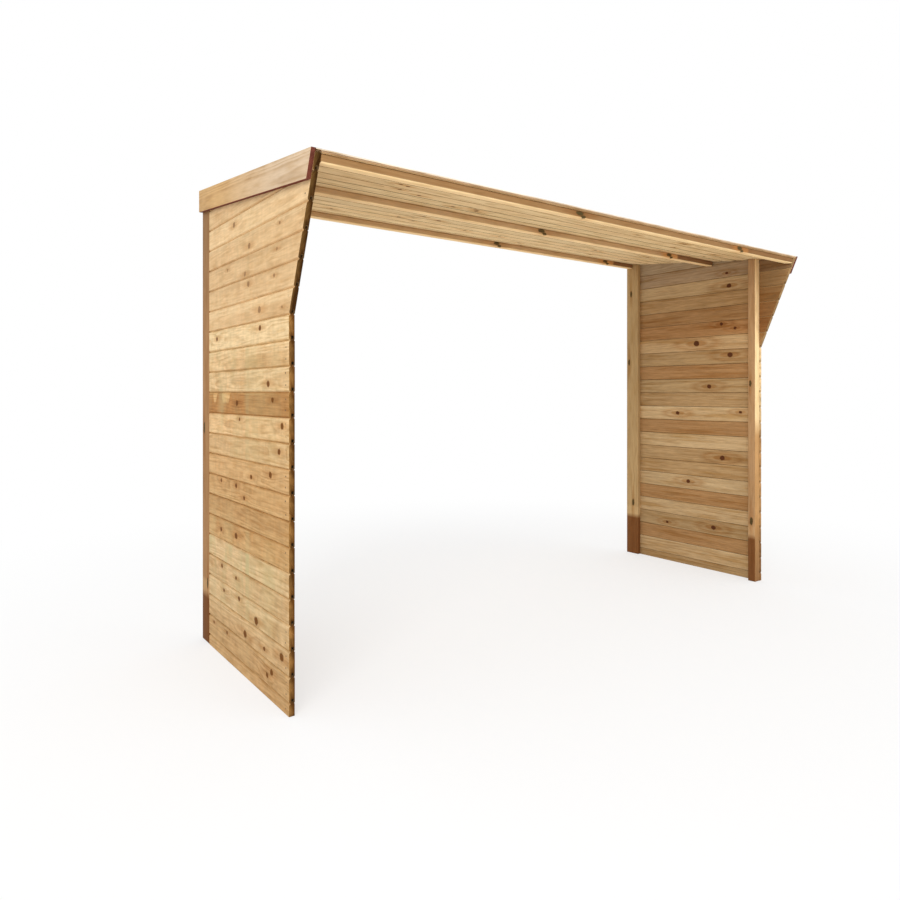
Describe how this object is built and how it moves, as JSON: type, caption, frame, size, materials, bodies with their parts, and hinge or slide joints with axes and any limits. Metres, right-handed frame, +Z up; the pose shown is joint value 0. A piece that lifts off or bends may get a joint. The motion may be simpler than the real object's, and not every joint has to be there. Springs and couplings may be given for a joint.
{
  "type": "log store",
  "caption": "Open-fronted, open-backed timber log store: two boarded side walls, posts and purlins under a boarded mono-pitch roof that falls to the front.",
  "frame": {"origin": "on the ground, in the middle of the overall box", "axes": "+X along the store's length, -Y out of the open front (the roof falls to the front), +Z up"},
  "size_m": [2.972, 1.163, 2.0005],
  "materials": {
    "wall_boards": "pressure-treated pine, planed tongue-and-groove board, matt",
    "posts": "pressure-treated pine, planed with eased corners, matt",
    "purlins": "pressure-treated pine batten, matt",
    "bargeboards": "planed pine board, matt",
    "roof_boards": "pressure-treated pine, fine-sawn board, matt",
    "nails": "hot-dip galvanised wire nail heads, dull"
  },
  "bodies": {
    "root": {"left_wall_lower": "wall_boards", "left_wall_upper": "wall_boards", "right_wall_lower": "wall_boards", "right_wall_upper": "wall_boards", "left_front_post": "posts", "right_front_post": "posts", "left_rear_post": "posts", "right_rear_post": "posts", "front_purlin": "purlins", "middle_purlin": "purlins", "rear_purlin": "purlins", "left_bargeboard": "bargeboards", "right_bargeboard": "bargeboards", "roof_board_01": "roof_boards", "roof_board_02": "roof_boards", "roof_board_03": "roof_boards", "roof_board_04": "roof_boards", "roof_board_05": "roof_boards", "roof_board_06": "roof_boards", "roof_board_07": "roof_boards", "roof_board_08": "roof_boards", "roof_board_09": "roof_boards", "roof_board_10": "roof_boards", "roof_board_11": "roof_boards", "roof_board_12": "roof_boards", "roof_board_13": "roof_boards"}
  },
  "joints": []
}
